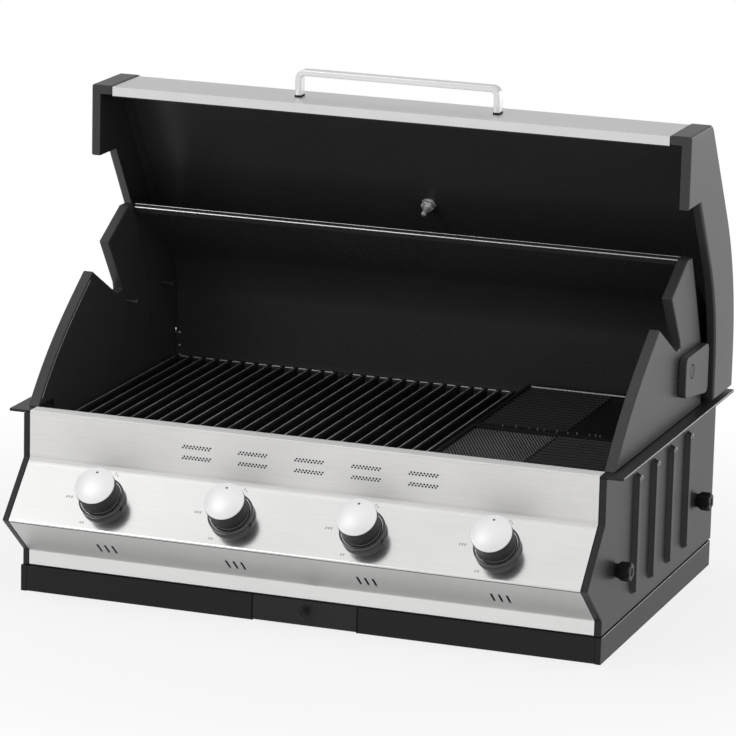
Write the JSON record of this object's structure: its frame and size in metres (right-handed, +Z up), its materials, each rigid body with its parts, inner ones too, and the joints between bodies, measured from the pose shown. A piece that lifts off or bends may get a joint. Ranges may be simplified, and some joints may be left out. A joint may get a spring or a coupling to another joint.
{
  "type": "built in gas grill",
  "caption": "Built-in gas grill with a hinged hood shown open, bar grates and griddle plates in an open firebox, knobs on a sloping front, side cheeks and a grease drawer in the base.",
  "frame": {"origin": "middle of the cabinet's width and depth, on the underside of its base", "axes": "+Z up, the knobs face -Y, +X to the right seen from the knobs"},
  "size_m": [0.8212, 0.5936, 0.6548],
  "materials": {
    "brushed_steel": "brushed",
    "bright_steel": "polished",
    "black_coat": "satin",
    "black_enamel": "gloss enamel",
    "cast_iron": "satin enamel",
    "black_moulding": "fine grain",
    "satin_silver": "satin",
    "chrome": "polished",
    "brass": "plain",
    "burner_steel": "plain"
  },
  "bodies": {
    "cabinet": {"back_panel": "black_enamel", "back_trim": "bright_steel", "base_tray": "black_coat", "burner_1": "burner_steel", "burner_2": "burner_steel", "burner_3": "burner_steel", "burner_4": "burner_steel", "cabinet_back": "black_coat", "cheek_left": "black_coat", "cheek_right": "black_coat", "control_panel": "brushed_steel", "cooking_grate_left": "cast_iron", "cooking_grate_middle": "cast_iron", "firebox_tub": "black_enamel", "flame_tamer_1": "black_enamel", "flame_tamer_2": "black_enamel", "flame_tamer_3": "black_enamel", "flame_tamer_4": "black_enamel", "gas_inlet_pipe": "brass", "gas_manifold": "brass", "grate_rail": "bright_steel", "griddle_front": "cast_iron", "griddle_rear": "cast_iron", "hinge_bolt_left": "black_coat", "hinge_bolt_right": "black_coat", "knob_bezel_1": "chrome", "knob_bezel_2": "chrome", "knob_bezel_3": "chrome", "knob_bezel_4": "chrome", "plinth_panel_left": "black_coat", "plinth_panel_right": "black_coat", "side_panel_left": "black_coat", "side_panel_right": "black_coat", "worktop_flange": "black_coat"},
    "hood": {"hood_skin": "brushed_steel", "hood_liner": "black_enamel", "hood_cap_left": "black_moulding", "hood_cap_right": "black_moulding", "hood_handle": "satin_silver", "thermometer": "bright_steel", "hinge_arm_left": "black_coat", "hinge_arm_right": "black_coat"},
    "drawer": {"grease_drawer": "black_coat", "drawer_knob": "black_moulding"},
    "stem_1": {"valve_stem_1": "brass"},
    "knob_1": {"knob_skirt_1": "black_moulding", "knob_cap_1": "satin_silver"},
    "stem_2": {"valve_stem_2": "brass"},
    "knob_2": {"knob_skirt_2": "black_moulding", "knob_cap_2": "satin_silver"},
    "stem_3": {"valve_stem_3": "brass"},
    "knob_3": {"knob_skirt_3": "black_moulding", "knob_cap_3": "satin_silver"},
    "stem_4": {"valve_stem_4": "brass"},
    "knob_4": {"knob_skirt_4": "black_moulding", "knob_cap_4": "satin_silver"},
    "screw_left_1": {"hand_screw_left_1": "black_moulding"},
    "screw_left_2": {"hand_screw_left_2": "black_moulding"},
    "screw_right_1": {"hand_screw_right_1": "black_moulding"},
    "screw_right_2": {"hand_screw_right_2": "black_moulding"}
  },
  "joints": [
    {"name": "hood_hinge", "type": "hinge", "parent": "cabinet", "child": "hood", "pos_m": [0, 0.0695, 0.304], "axis": [1, 0, 0], "range_deg": [0, 90]},
    {"name": "drawer_slide", "type": "slide", "parent": "cabinet", "child": "drawer", "axis": [0, -1, 0], "range_m": [0, 0.26]},
    {"name": "knob_1_turn", "type": "hinge", "parent": "cabinet", "child": "stem_1", "pos_m": [-0.264, -0.28069, 0.1425], "axis": [0, -0.7202, 0.6937], "range_deg": [0, 153]},
    {"name": "knob_1_push", "type": "slide", "parent": "stem_1", "child": "knob_1", "axis": [0, 0.7202, -0.6937], "range_m": [0, 0.004], "stiffness_N_per_m": 500},
    {"name": "knob_2_turn", "type": "hinge", "parent": "cabinet", "child": "stem_2", "pos_m": [-0.088, -0.28069, 0.1425], "axis": [0, -0.7202, 0.6937], "range_deg": [0, 153]},
    {"name": "knob_2_push", "type": "slide", "parent": "stem_2", "child": "knob_2", "axis": [0, 0.7202, -0.6937], "range_m": [0, 0.004], "stiffness_N_per_m": 500},
    {"name": "knob_3_turn", "type": "hinge", "parent": "cabinet", "child": "stem_3", "pos_m": [0.088, -0.28069, 0.1425], "axis": [0, -0.7202, 0.6937], "range_deg": [0, 153]},
    {"name": "knob_3_push", "type": "slide", "parent": "stem_3", "child": "knob_3", "axis": [0, 0.7202, -0.6937], "range_m": [0, 0.004], "stiffness_N_per_m": 500},
    {"name": "knob_4_turn", "type": "hinge", "parent": "cabinet", "child": "stem_4", "pos_m": [0.264, -0.28069, 0.1425], "axis": [0, -0.7202, 0.6937], "range_deg": [0, 153]},
    {"name": "knob_4_push", "type": "slide", "parent": "stem_4", "child": "knob_4", "axis": [0, 0.7202, -0.6937], "range_m": [0, 0.004], "stiffness_N_per_m": 500},
    {"name": "screw_left_1_turn", "type": "hinge", "parent": "cabinet", "child": "screw_left_1", "pos_m": [-0.39, -0.1905, 0.106], "axis": [-1, 0, 0], "continuous": true},
    {"name": "screw_left_2_turn", "type": "hinge", "parent": "cabinet", "child": "screw_left_2", "pos_m": [-0.39, 0.1695, 0.106], "axis": [-1, 0, 0], "continuous": true},
    {"name": "screw_right_1_turn", "type": "hinge", "parent": "cabinet", "child": "screw_right_1", "pos_m": [0.39, -0.1905, 0.106], "axis": [1, 0, 0], "continuous": true},
    {"name": "screw_right_2_turn", "type": "hinge", "parent": "cabinet", "child": "screw_right_2", "pos_m": [0.39, 0.1695, 0.106], "axis": [1, 0, 0], "continuous": true}
  ]
}
